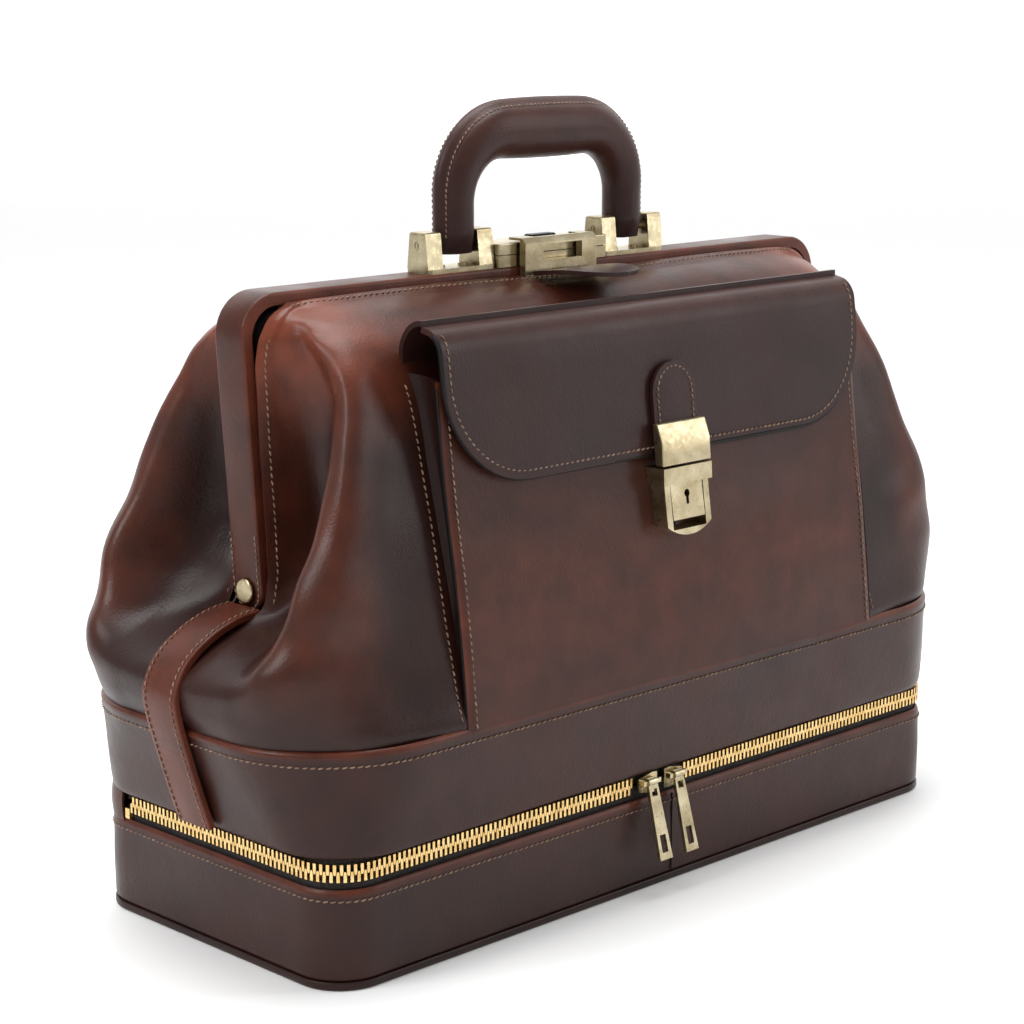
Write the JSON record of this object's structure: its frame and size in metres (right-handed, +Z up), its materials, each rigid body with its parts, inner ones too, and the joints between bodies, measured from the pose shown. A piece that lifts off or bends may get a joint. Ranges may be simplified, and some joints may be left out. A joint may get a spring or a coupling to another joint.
{
  "type": "doctor bag",
  "caption": "Leather doctor bag with a hinged frame mouth, top handle and clasp, front flap pocket with push lock, and a zipped compartment underneath.",
  "frame": {"origin": "middle of the base on the surface it stands on", "axes": "+X along the bag's length, front faces -Y, +Z up"},
  "size_m": [0.4722, 0.1936, 0.3656],
  "materials": {
    "leather": "semi-gloss, dark brown vegetable-tanned leather",
    "flap_leather": "semi-gloss, very dark brown leather",
    "lining": "woven cotton lining",
    "board": "fibreboard",
    "zipper_tape": "woven tape, near black",
    "zipper_brass": "bright golden brass",
    "antique_brass": "satin antique brass",
    "dark_metal": "blackened metal",
    "steel": "plain spring steel"
  },
  "bodies": {
    "base": {"bottom_leather": "leather", "bottom_board": "board", "lower_wall_leather": "leather", "lower_wall_stiffener": "board", "lower_lining": "lining", "lower_zipper_tape": "zipper_tape", "lower_zipper_teeth": "zipper_brass", "zipper_end_stops": "zipper_brass", "hinge_leather": "leather"},
    "main": {"floor_board": "board", "floor_lining": "lining", "lower_band": "leather", "front_leather": "leather", "back_leather": "leather", "end_strap_left": "leather", "end_strap_right": "leather", "main_lining": "lining", "front_frame": "steel", "frame_rivets": "antique_brass", "pocket_panel": "leather", "pocket_gusset": "leather", "flap_fold": "flap_leather", "pocket_lock_case": "antique_brass", "pocket_lock_backplate": "steel", "pocket_lock_spring": "steel", "upper_zipper_tape": "zipper_tape", "upper_zipper_teeth": "zipper_brass", "latch_saddle": "antique_brass", "saddle_rivets": "antique_brass"},
    "rear_frame": {"rear_frame": "steel", "frame_cover": "leather", "back_leather_top": "leather", "bracket_left": "antique_brass", "bracket_right": "antique_brass", "bracket_rivets": "antique_brass", "handle_pins": "steel", "top_lock_base": "antique_brass", "top_lock_cover": "antique_brass", "top_lock_spring": "steel"},
    "handle": {"handle_grip": "leather", "handle_core": "steel"},
    "top_lock_button": {"top_lock_button": "dark_metal"},
    "pull_tab": {"pull_tab": "flap_leather"},
    "pocket_flap": {"pocket_flap": "flap_leather", "flap_tab": "flap_leather", "pocket_lock_cap": "antique_brass"},
    "pocket_lock_button": {"pocket_lock_button": "antique_brass"},
    "pocket_lock_cam": {"pocket_lock_cam": "steel"},
    "slider_left": {"slider_left": "antique_brass"},
    "slider_right": {"slider_right": "antique_brass"},
    "puller_left": {"puller_left": "antique_brass"},
    "puller_right": {"puller_right": "antique_brass"}
  },
  "joints": [
    {"name": "compartment_hinge", "type": "hinge", "parent": "base", "child": "main", "pos_m": [0, 0.084, 0.0525], "axis": [-1, 0, 0], "range_deg": [0, 90], "deforming": ["hinge_leather"]},
    {"name": "frame_hinge", "type": "hinge", "parent": "main", "child": "rear_frame", "pos_m": [0, 0, 0.1585], "axis": [-1, 0, 0], "range_deg": [0, 50], "deforming": ["back_leather", "main_lining"]},
    {"name": "handle_hinge", "type": "hinge", "parent": "rear_frame", "child": "handle", "pos_m": [0, 0, 0.302], "axis": [1, 0, 0], "range_deg": [-80, 80]},
    {"name": "top_lock_slide", "type": "slide", "parent": "rear_frame", "child": "top_lock_button", "axis": [1, 0, 0], "range_m": [0, 0.006], "stiffness_N_per_m": 120, "springref_m": -0.002, "deforming": ["top_lock_spring"]},
    {"name": "pull_tab_hinge", "type": "hinge", "parent": "main", "child": "pull_tab", "pos_m": [-0.003, -0.0158, 0.2858], "axis": [-1, 0, 0], "range_deg": [0, 60]},
    {"name": "pocket_flap_hinge", "type": "hinge", "parent": "main", "child": "pocket_flap", "pos_m": [0, -0.0655, 0.264], "axis": [-1, 0, 0], "range_deg": [0, 120], "deforming": ["flap_fold"]},
    {"name": "pocket_lock_slide", "type": "slide", "parent": "main", "child": "pocket_lock_button", "axis": [0, 0, -1], "range_m": [0, 0.002], "stiffness_N_per_m": 300, "springref_m": -0.002, "deforming": ["pocket_lock_spring"]},
    {"name": "pocket_lock_cam_turn", "type": "hinge", "parent": "pocket_lock_button", "child": "pocket_lock_cam", "pos_m": [0, -0.0875, 0.1876], "axis": [0, 1, 0], "range_deg": [0, 90]},
    {"name": "slider_left_slide", "type": "slide", "parent": "base", "child": "slider_left", "axis": [-1, 0, 0], "range_m": [0, 0.16], "deforming": ["lower_zipper_teeth", "upper_zipper_teeth", "lower_zipper_tape", "upper_zipper_tape"]},
    {"name": "slider_right_slide", "type": "slide", "parent": "base", "child": "slider_right", "axis": [1, 0, 0], "range_m": [0, 0.16], "deforming": ["lower_zipper_teeth", "upper_zipper_teeth", "lower_zipper_tape", "upper_zipper_tape"]},
    {"name": "puller_left_hinge", "type": "hinge", "parent": "slider_left", "child": "puller_left", "pos_m": [-0.0186, -0.08962, 0.054], "axis": [-1, 0, 0], "range_deg": [0, 85]},
    {"name": "puller_right_hinge", "type": "hinge", "parent": "slider_right", "child": "puller_right", "pos_m": [-0.0004, -0.08962, 0.054], "axis": [-1, 0, 0], "range_deg": [0, 85]}
  ]
}
